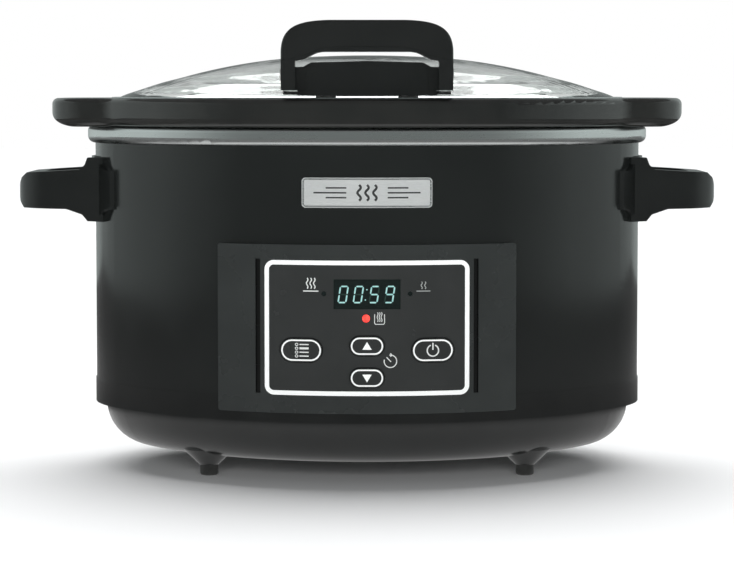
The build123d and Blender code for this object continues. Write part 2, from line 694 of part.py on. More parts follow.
def hinge_bracket_screws():
    back = TAB_BACK + CLIP
    return pieces(
        rod_y(x, 203.5, back, back + 1.8, 3.2) + rod_y(x, 203.5, TAB_BACK - 6, back, 1.7)
        for x in (-20.0, 20.0)
    )


def hinge_pin():
    return rod_x(HINGE_Y, HINGE_Z, -EARS[1], EARS[1], PIN_RADIUS)


# ---- lid ----
DOME_INSET = 13.5
DOME = [  # share of the way from the rim to the crown, share of the outline left
    (0.0, 1.0), (0.062, 0.981), (0.181, 0.9206), (0.30, 0.8595), (0.42, 0.7864),
    (0.535, 0.7112), (0.654, 0.6283), (0.774, 0.527), (0.893, 0.39), (0.975, 0.2), (1.0, 0.06),
]


def dome_solid(drop=0.0):
    span = DOME_TOP - LID_EDGE_TOP
    sections = [
        Pos(0, 0, LID_EDGE_TOP + span * rise - drop) * scale(oval(-DOME_INSET), by=share)
        for rise, share in DOME
    ]
    return loft(sections)


def glass_lid():
    flange = wall(-BAND_INSET - LID_BAND, -DOME_INSET - 11, SEAT_Z + LID_BAND, LID_EDGE_TOP)
    body = dome_solid() - dome_solid(GLASS) + flange
    body -= prism(-DOME_INSET - 9, 190, SEAT_Z + LID_BAND)
    for x, y in LID_HOLES:
        body -= post(x, y, SEAT_Z, DOME_TOP, 2.7)
    return body


PEDESTAL_Y0, PEDESTAL_Y1 = 14.0 - HALF_D, 41.0 - HALF_D
HOLE_FRONT, HOLE_BACK = 30.0 - HALF_D, HALF_D - 33.0
LID_HOLES = [(-22.0, HOLE_FRONT), (22.0, HOLE_FRONT), (-32.0, HOLE_BACK), (32.0, HOLE_BACK)]


def lid_rim_band():
    """A folded steel channel round the edge of the glass."""
    side = wall(-BAND_INSET, -BAND_INSET - LID_BAND, SEAT_Z, LID_EDGE_TOP + 0.6)
    foot = wall(-BAND_INSET - 0.1, -17.0, SEAT_Z, SEAT_Z + LID_BAND)
    lip = wall(-BAND_INSET - 0.1, -DOME_INSET + FIT, LID_EDGE_TOP, LID_EDGE_TOP + 0.6)
    return side + foot + lip


def lid_solid():
    """Everything of the glass and its band that a piece on top has to clear."""
    return dome_solid() + prism(-BAND_INSET, SEAT_Z, LID_EDGE_TOP + 0.6)


def handle_side_holes():
    shaft = rod_x(PEDESTAL_Y1 - 12, 222.5, PEDESTAL_HEAD / 2 - 4, LOOP_WIDTH / 2 + 1, 1.5)
    return shaft + mirror(shaft, about=Plane.YZ)


def handle_base(lid):
    low, head = PEDESTAL_BASE / 2, PEDESTAL_HEAD / 2
    crease = PEDESTAL_LOW + 7.5
    shape = make_face(
        Polyline(
            (-low, PEDESTAL_LOW), (low, PEDESTAL_LOW), (low - 0.6, crease), (head, PEDESTAL_TOP - 3),
            (head - 4, PEDESTAL_TOP - 0.8), (0, PEDESTAL_TOP), (4 - head, PEDESTAL_TOP - 0.8),
            (-head, PEDESTAL_TOP - 3), (0.6 - low, crease), (-low, PEDESTAL_LOW),
        )
    )
    body = extrude(Plane.XZ * shape, -PEDESTAL_Y0) - block(
        -60, 60, PEDESTAL_Y1, 5, PEDESTAL_LOW - 1, PEDESTAL_TOP + 2
    )
    body -= lid
    for x, y in LID_HOLES[:2]:
        body -= post(x, y, SEAT_Z, PEDESTAL_TOP - 4, 2.2)
    return body - handle_side_holes()


LOOP_Y0, LOOP_Y1 = -HALF_D - 5.0, 13.0 - HALF_D
LOOP_BAR, LOOP_FACE, LOOP_ROUND = 233.5, 1.8, 1.7  # level of the bar's underside, depth of the raised face


def arch_outline(foot):
    """The grip's outer outline from the front, cut off level at foot."""
    half, top = LOOP_WIDTH / 2, LOOP_TOP
    return make_face(
        Line((-half, foot), (-half, LOOP_BAR))
        + Bezier((-half, LOOP_BAR), (-half, top - 4), (-half + 8, top - 0.4), (-20, top))
        + Line((-20, top), (20, top))
        + Bezier((20, top), (half - 8, top - 0.4), (half, top - 4), (half, LOOP_BAR))
        + Line((half, LOOP_BAR), (half, foot))
        + Line((half, foot), (-half, foot))
    )


def under_arch(half, crown, spring, flat):
    """The space under an arch: level over the middle, falling to spring at both sides."""
    low = LOOP_LOW - 10
    ease = (half - flat) * 0.5
    return make_face(
        Line((-half, low), (-half, spring))
        + Bezier((-half, spring), (-half + ease, spring + 0.4), (-flat - ease, crown), (-flat, crown))
        + Line((-flat, crown), (flat, crown))
        + Bezier((flat, crown), (flat + ease, crown), (half - ease, spring + 0.4), (half, spring))
        + Line((half, spring), (half, low))
        + Line((half, low), (-half, low))
    )


def slab_y(sketch, y0, y1):
    """A sketch in x and z made solid between two depths in front of the middle."""
    return Pos(0, y1, 0) * extrude(Plane.XZ * sketch, y1 - y0)


def lid_handle(lid, pedestal):
    """An arched grip with a visor-like face, on two legs that reach back to the pedestal."""
    half = LOOP_WIDTH / 2
    inner = half - LOOP_LEG
    face_y = LOOP_Y0 + LOOP_FACE
    arch = slab_y(
        arch_outline(LOOP_LOW) - under_arch(inner, LOOP_BAR + 0.7, LOOP_BAR - 4.2, 22), face_y, LOOP_Y1
    )
    face = slab_y(
        arch_outline(LOOP_LOW) - under_arch(half + 1, LOOP_BAR + 3.6, LOOP_BAR - 3.2, 14), LOOP_Y0, face_y
    )
    arm = block(
        PEDESTAL_HEAD / 2 - 1, half, LOOP_Y1 - 1, PEDESTAL_Y1 - 4, LOOP_LOW, LOOP_LOW + 12.5
    )
    arm -= pedestal + lid
    arm = max(arm.solids(), key=lambda s: s.volume)
    grip = arch + face
    front = grip.edges().filter_by(lambda e: e.bounding_box().max.Y < LOOP_Y0 + 0.01)
    outer = [e for e in front if e.center().Z > LOOP_BAR + 6 or abs(e.center().X) > half - 1]
    grip = fillet(outer, LOOP_ROUND)
    return grip + arm + mirror(arm, about=Plane.YZ) - handle_side_holes()


def handle_side_screws():
    half, y = LOOP_WIDTH / 2, PEDESTAL_Y1 - 12
    screw = rod_x(y, 222.5, PEDESTAL_HEAD / 2 - 4, half, 1.5) + rod_x(y, 222.5, half, half + 1.2, 3.0)
    return pieces([screw, mirror(screw, about=Plane.YZ)])


def lid_screw(x, y, top):
    return post(x, y, 207.4, 209.0, 3.6) + post(x, y, 208.9, top, 2.2)


def lid_screws():
    tops = [PEDESTAL_TOP - 5] * 2 + [HINGE_TOP - 6] * 2
    return pieces(lid_screw(x, y, top) for (x, y), top in zip(LID_HOLES, tops))


def lid_washers(glass):
    made = []
    for x, y in LID_HOLES:
        ring = post(x, y, 209.0, DOME_TOP, 5.4) - post(x, y, 200, DOME_TOP, 2.2)
        cut = ring - dome_solid_above(GLASS) - glass
        made.append(min(cut.solids(), key=lambda s: s.bounding_box().min.Z))
    return pieces(made)


def dome_solid_above(drop):
    """What lies over the underside of the glass."""
    return prism(0, SEAT_Z, DOME_TOP + 5) - dome_solid(drop)


def hinge_arm(lid):
    half = HINGE_WIDTH / 2
    shape = make_face(
        Polyline(
            (-half, 218), (-half + 7, 216.5), (-45, 213.5), (45, 213.5), (half - 7, 216.5),
            (half, 218), (half, HINGE_TOP - 2.4), (half - 4, HINGE_TOP), (4 - half, HINGE_TOP),
            (-half, HINGE_TOP - 2.4), (-half, 218),
        )
    )
    y0, y1 = HALF_D - 41.0, HALF_D + 7.0
    body = extrude(Plane.XZ * shape, -y1) & block(-80, 80, y0, y1, 200, 240)
    body -= lid
    mid = EARS[0] - 0.9
    body += rod_x(HINGE_Y, HINGE_Z, -mid, mid, 6.2)
    body += block(-mid, mid, y1 - 2, HINGE_Y, HINGE_Z - 5.8, HINGE_Z + 6.2)
    body -= rod_x(HINGE_Y, HINGE_Z, -mid - 1, mid + 1, PIN_RADIUS + PIN_PLAY)
    for x, y in LID_HOLES[2:]:
        body -= post(x, y, SEAT_Z, HINGE_TOP - 5, 2.2)
    return body


def build():
    lid = lid_solid()
    pedestal = handle_base(lid)
    glass = glass_lid()
    parts = {
        "outer_shell": outer_shell(),
        "collar_ring": collar_ring(),
        "heating_well": heating_well(),
        "heater_band": heater_band(),
        "band_clamp_screw": band_clamp_screw(),
        "insulation_sleeve": insulation_sleeve(),
        "heat_shield": heat_shield(),
        "centre_stud": centre_stud(),
        "centre_nut": centre_nut(),
        "base_skirt": base_skirt(),
        "base_pan": base_pan(),
        "base_screws": base_screws(),
        "rubber_feet": rubber_feet(),
        "side_handle_left": side_handle(-1),
        "side_handle_right": side_handle(1),
        "side_handle_screws": side_handle_screws(),
        "control_bezel": control_bezel(),
        "panel_overlay": panel_overlay(),
        "panel_outline": panel_outline(),
        "display_window": display_window(),
        "display_module": display_module(),
        "display_board": display_board(),
        "display_board_screws": display_board_screws(),
        "indicator_lenses": indicator_lenses(),
        "ready_lens": ready_lens(),
        "tact_switches": tact_switches(),
        "nameplate": nameplate(),
        "main_board": main_board(),
        "main_board_screws": main_board_screws(),
        "transformer": transformer(),
        "relay": relay(),
        "capacitors": capacitors(),
        "terminal_block": terminal_block(),
        "temperature_sensor": temperature_sensor(),
        "sensor_spring": sensor_spring(),
        "thermal_fuse": thermal_fuse(),
        "heater_leads": heater_leads(),
        "ribbon_cable": ribbon_cable(),
        "sensor_leads": sensor_leads(),
        "cord_gland": cord_gland(),
        "gland_nut": gland_nut(),
        "stoneware_bowl": stoneware_bowl(),
        "hinge_bracket": hinge_bracket(),
        "hinge_bracket_screws": hinge_bracket_screws(),
        "hinge_pin": hinge_pin(),
        "glass_lid": glass,
        "lid_rim_band": lid_rim_band(),
        "handle_base": pedestal,
        "lid_handle": lid_handle(lid, pedestal),
        "handle_side_screws": handle_side_screws(),
        "lid_screws": lid_screws(),
        "lid_washers": lid_washers(glass),
        "hinge_arm": hinge_arm(lid),
    }
    for name in BUTTONS:
        parts[name] = push_button(name)
    return parts


def main():
    os.makedirs("parts", exist_ok=True)
    parts = build()
    boxes = [part.bounding_box() for part in parts.values()]
    middle = (min(b.min.Y for b in boxes) + max(b.max.Y for b in boxes)) / 2
    for name, part in parts.items():
        export_step(Pos(0, -middle, 0) * part, f"parts/{name}.step")
    print(len(parts), "pieces, moved back by", round(middle, 3))


if __name__ == "__main__":
    main()
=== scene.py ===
# %% [markdown]
# # A slow cooker with a glass lid
# The real thing is a black enamelled steel drum with a plastic foot part below, a silver ring above,
# a glazed stoneware bowl hanging in the ring and a glass lid hinged at the back. Its shapes and sizes
# come from the CAD frame, so this script gives every piece its finish and adds the thin things that
# are printed, lit or moulded in: the icons, the digits, the ribs and the badge.

# %% The frame
import math

import bmesh
import bpy
from mathutils import Euler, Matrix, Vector


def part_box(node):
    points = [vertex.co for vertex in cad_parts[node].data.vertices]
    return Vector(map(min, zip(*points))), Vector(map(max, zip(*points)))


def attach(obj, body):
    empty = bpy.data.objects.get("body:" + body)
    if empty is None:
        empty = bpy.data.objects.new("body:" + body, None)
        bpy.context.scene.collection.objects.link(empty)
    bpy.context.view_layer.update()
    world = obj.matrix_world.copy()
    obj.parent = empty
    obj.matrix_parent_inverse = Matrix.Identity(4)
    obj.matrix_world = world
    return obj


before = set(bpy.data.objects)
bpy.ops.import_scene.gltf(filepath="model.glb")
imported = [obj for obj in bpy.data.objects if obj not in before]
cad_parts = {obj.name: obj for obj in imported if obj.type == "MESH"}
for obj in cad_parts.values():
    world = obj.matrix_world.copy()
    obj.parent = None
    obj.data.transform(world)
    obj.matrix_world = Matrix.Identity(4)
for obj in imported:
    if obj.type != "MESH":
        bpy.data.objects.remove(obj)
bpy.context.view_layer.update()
MM = 0.001

# %% [markdown]
# ## The drum's front
# All controls sit on the drum's front, which is one arc of the oval. A point on it is found from x
# alone, so anything drawn flat can be laid on it. The arc follows from the drum's own box and from
# the radius of its two ends, the way a draughtsman would work it out: two arcs that meet smoothly.

# %% The front arc
END_RADIUS = 85.0 * MM
drum_low, drum_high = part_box("outer_shell")
half_width = (drum_high.x - drum_low.x) / 2
half_depth = (drum_high.y - drum_low.y) / 2
drum_middle = (drum_high.y + drum_low.y) / 2
end_x = half_width - END_RADIUS
FRONT_RADIUS = (end_x**2 + half_depth**2 - END_RADIUS**2) / (2 * (half_depth - END_RADIUS))
ARC_CENTRE = drum_middle + FRONT_RADIUS - half_depth


def front(x, proud=0.0):
    """y on the drum's front at x, standing proud of it"""
    return ARC_CENTRE - math.sqrt((FRONT_RADIUS + proud) ** 2 - x**2)


print(f"front arc radius {FRONT_RADIUS / MM:.1f} mm about y = {ARC_CENTRE / MM:.1f} mm")

# %% [markdown]
# ## Shader arithmetic
# A finish is easier to read as a sum than as a web of links. `Wire` wraps one socket, and its
# operators add Math nodes. `Nodes.add` makes every other node from its type, its settings, which
# are set first, and the values or links of its sockets. Both work in shader trees and in Geometry
# Nodes trees alike.

# %% Wire and Nodes
class Wire:
    """One output socket that can be added, multiplied and so on"""

    def __init__(self, nodes, socket):
        self.nodes, self.socket = nodes, socket

    def maths(self, operation, a, b=None):
        values = {0: a} if b is None else {0: a, 1: b}
        return self.nodes.add("ShaderNodeMath", {"operation": operation}, values)

    def __add__(self, other):
        return self.maths("ADD", self, other)

    def __radd__(self, other):
        return self.maths("ADD", other, self)

    def __sub__(self, other):
        return self.maths("SUBTRACT", self, other)

    def __rsub__(self, other):
        return self.maths("SUBTRACT", other, self)

    def __mul__(self, other):
        return self.maths("MULTIPLY", self, other)

    def __rmul__(self, other):
        return self.maths("MULTIPLY", other, self)

    def __truediv__(self, other):
        return self.maths("DIVIDE", self, other)

    def __pow__(self, other):
        return self.maths("POWER", self, other)

    def __gt__(self, other):
        return self.maths("GREATER_THAN", self, other)

    def __lt__(self, other):
        return self.maths("LESS_THAN", self, other)

    def root(self):
        return self.maths("SQRT", self)

    def clamped(self):
        return self.nodes.add("ShaderNodeClamp", {}, {0: self})


class Nodes:
    """A node tree that is filled by short calls"""

    def __init__(self, tree):
        self.tree = tree
        tree.nodes.clear()

    def put(self, socket, value):
        if isinstance(value, Wire):
            self.tree.links.new(value.socket, socket)
        elif isinstance(value, (tuple, list)) and len(value) == 3 and socket.type == "RGBA":
            socket.default_value = (*value, 1.0)
        else:
            socket.default_value = value

    def add(self, kind, settings=None, values=None, out=0):
        node = self.tree.nodes.new(kind)
        for key, value in (settings or {}).items():
            if key == "stops":
                self.stops(node.color_ramp, value)
            else:
                setattr(node, key, value)
        for key, value in (values or {}).items():
            self.put(node.inputs[key], value)
        return Wire(self, node.outputs[out]) if node.outputs else None

    def stops(self, ramp, pairs):
        while len(ramp.elements) < len(pairs):
            ramp.elements.new(1.0)
        for element, (position, colour) in zip(ramp.elements, pairs):
            element.position = position
            element.color = (*colour, 1.0)

    def blend(self, factor, first, second):
        """A colour between two colours"""
        values = {0: factor, 6: first, 7: second}
        return self.add("ShaderNodeMix", {"data_type": "RGBA"}, values, out=2)


print("shader arithmetic ready")

# %% [markdown]
# ## The parts of a finish
# Real plastic, enamel and metal are never quite even. Four small patterns cover most of it: a soft
# `cloud`, long `streaks` from brushing or rolling, `cells` such as spark-eroded mould texture, and
# `relief`, which turns any of them into a bump. They read Object coordinates, which are metres on
# the object, so a scale of 1000 means a grain of about a millimetre.

# %% Patterns
class Finish(Nodes):
    """A material in the making"""

    def __init__(self, name):
        self.material = bpy.data.materials.new(name)
        self.material.use_nodes = True
        super().__init__(self.material.node_tree)
        self.place = self.add("ShaderNodeTexCoord", out="Object")

    def cloud(self, scale, detail=3.0, low=0.0, high=1.0, stretch=(1, 1, 1)):
        place = self.add("ShaderNodeMapping", {}, {"Vector": self.place, "Scale": stretch})
        values = {"Vector": place, "Scale": scale, "Detail": detail, "Roughness": 0.55}
        noise = self.add("ShaderNodeTexNoise", {}, values)
        return ((noise - 0.3) * 2.5).clamped() * (high - low) + low

    def streaks(self, scale, along, low=0.0, high=1.0):
        stretch = [0.02 if axis == along else 1.0 for axis in "xyz"]
        return self.cloud(scale, 4.0, low, high, stretch)

    def cells(self, scale):
        values = {"Vector": self.place, "Scale": scale}
        return self.add("ShaderNodeTexVoronoi", {}, values)

    def relief(self, height, depth, strength=1.0, below=None):
        values = {"Strength": strength, "Distance": depth, "Height": height}
        if below is not None:
            values["Normal"] = below
        return self.add("ShaderNodeBump", {}, values)

    def done(self, **values):
        shader = self.add("ShaderNodeBsdfPrincipled", {}, values)
        self.add("ShaderNodeOutputMaterial", {}, {"Surface": shader})
        return self.material


def sockets(**words):
    """Socket names as Python words: base_color becomes Base Color"""
    return {word.replace("_", " ").title().replace("Ior", "IOR"): value for word, value in words.items()}


finishes = {}
print("patterns ready")

# %% [markdown]
# ## Black finishes
# Nearly everything outside is black, and the eye tells the pieces apart by gloss alone. The drum is
# stoved enamel, with the faint orange peel of sprayed paint. Plastic is moulded: the glossy kind
# comes from a polished tool, the matt kind from a spark-eroded one. The bowl's glaze is glass, with
# slow waves, a warmer tint where it lies thin and a few pinholes.
# The panel plastic also carries painted shade: it is near black inside its two upright grooves.

# %% Enamel, glaze and plastics
def black_enamel():
    f = Finish("black_enamel")
    colour = f.blend(f.cloud(9), (0.0085, 0.0098, 0.0094), (0.0125, 0.0142, 0.0136))
    peel = f.relief(f.cloud(620, 2.0), 0.00004, 0.16)
    rough = f.cloud(34, 5.0, 0.075, 0.125) + f.cloud(900, 2.0, 0.0, 0.02)
    return f.done(**sockets(base_color=colour, roughness=rough, normal=peel))


GROOVE_X, GROOVE_W, GROOVE_MIDDLE = 58.5, 2.7, 87.9
SLOT_HALF_W, SLOT_HALF_H = 1.2, 36.1


def groove_shade_mask(f):
    """1 in the two upright grooves beside the panel, where their shade is painted, 0 everywhere else"""
    x = f.add("ShaderNodeSeparateXYZ", {}, {"Vector": f.place}, out=0)
    z = f.add("ShaderNodeSeparateXYZ", {}, {"Vector": f.place}, out=2)
    aside = x.maths("ABSOLUTE", x) - GROOVE_X * MM
    above = z - GROOVE_MIDDLE * MM
    within = aside.maths("ABSOLUTE", aside) < SLOT_HALF_W * MM
    return within * (above.maths("ABSOLUTE", above) < SLOT_HALF_H * MM)


def black_plastic(name, dark, pale, gloss, grain, depth, painted_groove_shade=False):
    f = Finish(name)
    colour = f.blend(f.cloud(40, 4.0), dark, pale)
    # painted shade: inside the two upright grooves the plastic is coloured near black to stand in for their
    # shadow
    if painted_groove_shade:
        colour = f.blend(groove_shade_mask(f), colour, (0.002, 0.0022, 0.0022))
    handled = f.cloud(22, 5.0, gloss, gloss + 0.07)
    skin = f.relief(f.cells(grain), depth, 0.35)
    dents = f.relief(f.cloud(110, 2.0), 0.00012, 0.10, below=skin)
    return f.done(**sockets(base_color=colour, roughness=handled, normal=dents))


def stone_glaze():
    f = Finish("stone_glaze")
    pooled = f.blend(f.cloud(26, 5.0), (0.0085, 0.0095, 0.0092), (0.019, 0.0195, 0.018))
    pinholes = f.cells(150) < 0.035
    waves = f.relief(f.cloud(48, 2.0), 0.0004, 0.10)
    pits = f.relief(1 - pinholes, 0.0001, 0.25, below=waves)
    rough = f.cloud(30, 4.0, 0.055, 0.11)
    return f.done(**sockets(base_color=pooled, roughness=rough, normal=pits, coat_weight=0.35))


def soft_rubber():
    f = Finish("soft_rubber")
    dusty = f.blend(f.cloud(160, 6.0), (0.012, 0.0125, 0.012), (0.035, 0.036, 0.034))
    skin = f.relief(f.cloud(2400, 3.0), 0.00008, 0.5)
    return f.done(**sockets(base_color=dusty, roughness=f.cloud(300, 4.0, 0.52, 0.72), normal=skin))


finishes["black_steel"] = black_enamel()
finishes["black_glaze"] = stone_glaze()
finishes["rubber"] = soft_rubber()
BLACKS = {
    "black_gloss_plastic": ((0.0085, 0.0095, 0.0092), (0.0125, 0.0135, 0.013), 0.10, 2600, 0.000012),
    "black_matte_plastic": ((0.0085, 0.0098, 0.0094), (0.0125, 0.0140, 0.0134), 0.17, 1900, 0.00003),
    # the True on panel_plastic turns on the painted groove shade
    "panel_plastic": ((0.027, 0.0305, 0.030), (0.033, 0.0375, 0.0365), 0.24, 2400, 0.00002, True),
    "overlay_film": ((0.029, 0.0315, 0.031), (0.034, 0.0365, 0.036), 0.22, 5200, 0.00002),
    "button_plastic": ((0.026, 0.0285, 0.028), (0.031, 0.0335, 0.033), 0.22, 3600, 0.00002),
    "silicone": ((0.05, 0.052, 0.05), (0.075, 0.077, 0.074), 0.5, 1500, 0.00003),
}
for slot, recipe in BLACKS.items():
    finishes[slot] = black_plastic(slot + "_finish", *recipe)
print("black finishes:", len(finishes))

# %% [markdown]
# ## Metals
# The ring and the badge are brushed, so their grain is a noise stretched along the brushing. The
# heating well is spun aluminium with a soft oxide bloom, and the zinc on screws has a faint yellow
# and blue tint. Brushing lies along x on the badge and level around the ring, which is the same
# stretch seen from the front, so both use streaks that are fine upwards.

# %% Metals
def brushed(name, dark, pale, gloss, along, depth=0.00001, scale=2600, metal=1.0):
    f = Finish(name)
    grain = f.streaks(scale, along)
    colour = f.blend(grain * 0.6 + f.cloud(45, 4.0) * 0.4, dark, pale)
    rough = grain * 0.09 + f.cloud(70, 5.0, gloss, gloss + 0.08)
    lines = f.relief(grain, depth, 0.3)
    return f.done(**sockets(base_color=colour, roughness=rough, metallic=metal, normal=lines))


def level_grain(name, dark, pale, gloss):
    """Brushing that runs level around an upright wall"""
    f = Finish(name)
    grain = f.cloud(60, 3.0, stretch=(1, 1, 42))
    colour = f.blend(grain, dark, pale)
    rough = grain * 0.05 + f.cloud(50, 5.0, gloss, gloss + 0.05)
    lines = f.relief(grain, 0.000004, 0.1)
    return f.done(**sockets(base_color=colour, roughness=rough, metallic=1.0, normal=lines))


def passivated_zinc():
    f = Finish("passivated_zinc")
    tint = f.blend(f.cloud(420, 3.0), (0.60, 0.58, 0.50), (0.56, 0.61, 0.68))
    worn = f.blend(f.cloud(900, 5.0), tint, (0.74, 0.74, 0.73))
    rough = f.cloud(700, 4.0, 0.24, 0.42)
    pitted = f.relief(f.cloud(1800), 0.00002, 0.3)
    return f.done(**sockets(base_color=worn, roughness=rough, metallic=1.0, normal=pitted))


finishes["silver_trim"] = level_grain("silver_ring", (0.69, 0.72, 0.715), (0.74, 0.765, 0.76), 0.24)
finishes["pin_steel"] = level_grain("ground_steel", (0.50, 0.52, 0.52), (0.66, 0.68, 0.68), 0.24)
finishes["brushed_plate"] = brushed(
    "satin_badge", (0.76, 0.785, 0.775), (0.90, 0.92, 0.915), 0.34, "x", metal=0.5
)
finishes["bare_aluminium"] = brushed(
    "spun_aluminium", (0.58, 0.59, 0.60), (0.76, 0.77, 0.78), 0.30, "y", scale=900
)
finishes["band_steel"] = brushed(
    "band_steel_finish", (0.42, 0.42, 0.43), (0.60, 0.60, 0.61), 0.28, "x", scale=1400
)
finishes["zinc_screw"] = passivated_zinc()
print("metals done:", len(finishes))

# %% [markdown]
# ## Glass, film and light
# The lid is clear toughened glass, faintly green and smooth. The display window is smoked so dark that
# only lit segments show. The lamp glows, so its colour goes to Emission Color, and its strength is a
# plain value on the socket. Lit segments do the same, and the white and icon inks glow faintly too,
# which is painted light.

# %% Clear, smoked and lit finishes
def pressed_glass():
    f = Finish("pressed_glass")
    tint = f.blend(f.cloud(14, 2.0), (0.90, 0.945, 0.925), (0.94, 0.97, 0.955))
    rough = f.cloud(60, 5.0, 0.0, 0.008)
    words = sockets(base_color=tint, roughness=rough, transmission_weight=1.0, ior=1.45)
    return f.done(**words)


def smoked_film():
    f = Finish("smoked_film")
    colour = f.blend(f.cloud(120, 3.0), (0.0045, 0.0085, 0.0080), (0.0070, 0.0125, 0.0115))
    wiped = f.streaks(700, "x", 0.05, 0.11)
    ripple = f.relief(f.cloud(260), 0.00002, 0.1)
    return f.done(**sockets(base_color=colour, roughness=wiped, normal=ripple))


def glowing(name, colour, pale, strength, body):
    f = Finish(name)
    patch = f.cloud(700, 2.0, 0.0, 1.0)
    light = f.blend(patch, colour, pale)
    words = sockets(base_color=body, roughness=f.cloud(500, 3.0, 0.2, 0.34), emission_color=light)
    words["Emission Strength"] = strength
    return f.done(**words)


def printed_ink(name, dark, pale, strength=0.0):
    f = Finish(name)
    colour = f.blend(f.cloud(1300, 4.0), dark, pale)
    speckle = f.relief(f.cloud(5200, 3.0), 0.00001, 0.4)
    words = sockets(base_color=colour, roughness=f.cloud(900, 3.0, 0.38, 0.52), normal=speckle)
    # painted glow: with a strength above nought the ink gives off light of its own colour, so it reads
    # brighter than the lamps make it
    words["Emission Strength"] = strength
    words["Emission Color"] = colour
    return f.done(**words)


finishes["clear_glass"] = pressed_glass()
finishes["smoked_window"] = smoked_film()
finishes["red_lens"] = glowing("red_lamp", (1.0, 0.02, 0.02), (1.0, 0.10, 0.07), 1.6, (0.35, 0.01, 0.01))
# painted glow: the white ink and the icon ink give off a little light of their own
finishes["white_ink"] = printed_ink("white_ink_painted_glow", (0.80, 0.82, 0.81), (0.90, 0.92, 0.91), 0.22)
icon_ink_painted_glow = printed_ink("icon_ink_painted_glow", (0.66, 0.68, 0.67), (0.78, 0.80, 0.79), 0.10)
faint_ink = printed_ink("faint_ink", (0.34, 0.36, 0.355), (0.42, 0.44, 0.43))
badge_ink = printed_ink("badge_ink", (0.030, 0.032, 0.032), (0.050, 0.052, 0.051))
lit_segment = glowing("lit_segment", (0.30, 0.62, 0.60), (0.52, 0.86, 0.83), 0.85, (0.05, 0.09, 0.09))
# painted glow: the unlit segments give off a faint green light, though no current lights them
unlit_segment_painted_glow = glowing(
    "unlit_segment_painted_glow", (0.010, 0.030, 0.022), (0.016, 0.040, 0.030), 0.6, (0.01, 0.02, 0.018)
)
print("lit and printed finishes done")

# %% [markdown]
# ## Inside the base
# Nobody sees the electrics until the pan comes off, and a service drawing or a cutaway shows them.
# The board has a green solder mask over copper tracks, which a brick pattern gives at the right
# scale. The sleeve is glass wool, all fibres, and the leads are plain red and grey plastic.

# %% Electrics and insulation
def solder_mask():
    f = Finish("solder_mask")
    values = {"Vector": f.place, "Scale": 130.0, "Mortar Size": 0.045}
    values.update({"Color1": (1, 1, 1), "Color2": (1, 1, 1), "Mortar": (0, 0, 0)})
    tracks = f.add("ShaderNodeTexBrick", {}, values, out="Fac")
    pads = f.cells(320) < 0.16
    green = f.blend(f.cloud(90, 3.0), (0.008, 0.085, 0.03), (0.012, 0.115, 0.045))
    traced = f.blend(tracks, green, (0.02, 0.20, 0.075))
    colour = f.blend(pads, traced, (0.62, 0.60, 0.55))
    normal = f.relief(tracks + pads, 0.00004, 0.4)
    return f.done(**sockets(base_color=colour, roughness=0.42 - pads * 0.16, metallic=pads, normal=normal))


def wool():
    f = Finish("glass_wool_finish")
    fibres = f.cloud(260, 8.0, stretch=(1, 1, 5)) * 0.6 + f.cloud(900, 6.0, stretch=(3, 3, 1)) * 0.4
    colour = f.blend(fibres, (0.46, 0.40, 0.28), (0.82, 0.78, 0.66))
    rough, tufts = f.cloud(80, 2.0, 0.86, 0.98), f.relief(fibres, 0.0008, 0.8)
    return f.done(**sockets(base_color=colour, roughness=rough, normal=tufts))


def moulded(name, dark, pale, gloss):
    f = Finish(name)
    colour = f.blend(f.cloud(210, 5.0), dark, pale)
    skin = f.relief(f.cloud(1500, 4.0), 0.00003, 0.3)
    rough = f.cloud(160, 4.0, gloss, gloss + 0.12)
    return f.done(**sockets(base_color=colour, roughness=rough, normal=skin))


finishes["circuit_board"] = solder_mask()
finishes["glass_wool"] = wool()
PLAIN = {
    "display_resin": ((0.018, 0.019, 0.019), (0.034, 0.036, 0.036), 0.36),
    "connector_plastic": ((0.62, 0.60, 0.53), (0.74, 0.72, 0.66), 0.34),
    "red_lead": ((0.36, 0.018, 0.012), (0.50, 0.035, 0.022), 0.40),
    "grey_lead": ((0.30, 0.31, 0.32), (0.42, 0.43, 0.44), 0.42),
}
for slot, recipe in PLAIN.items():
    finishes[slot] = moulded(slot + "_finish", *recipe)

# %% [markdown]
# ## Dressing the frame
# Each CAD node carries the name of its material slot from the record. Its shape is already right, so
# only what sits in the slot changes. A slot with no finish stops the script, because a bare grey
# piece would otherwise be easy to miss.

# %% Finishes on the CAD nodes
for name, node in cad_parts.items():
    for place in node.material_slots:
        place.material = finishes[place.material.name]
print("dressed", len(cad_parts), "nodes in", len(finishes), "finishes")

# %% [markdown]
# ## Ink laid on the drum
# Icons and button rings are screen-printed: a thin film of ink, a few hundredths of a millimetre
# thick, with soft edges. A texture could fake them, but a film of real geometry keeps its edges
# sharp at any distance and survives export. Each drawing is a mesh of plain edges in x and z. A
# Geometry Nodes tree sweeps a round bead along them, squashes it into a film and lays it on the arc
# of the drum. Rings, waves and clock hands all come from this one tree.

# %% The ink tree
def new_socket(tree, name, kind, direction="INPUT"):
    return tree.interface.new_socket(name=name, in_out=direction, socket_type=kind)


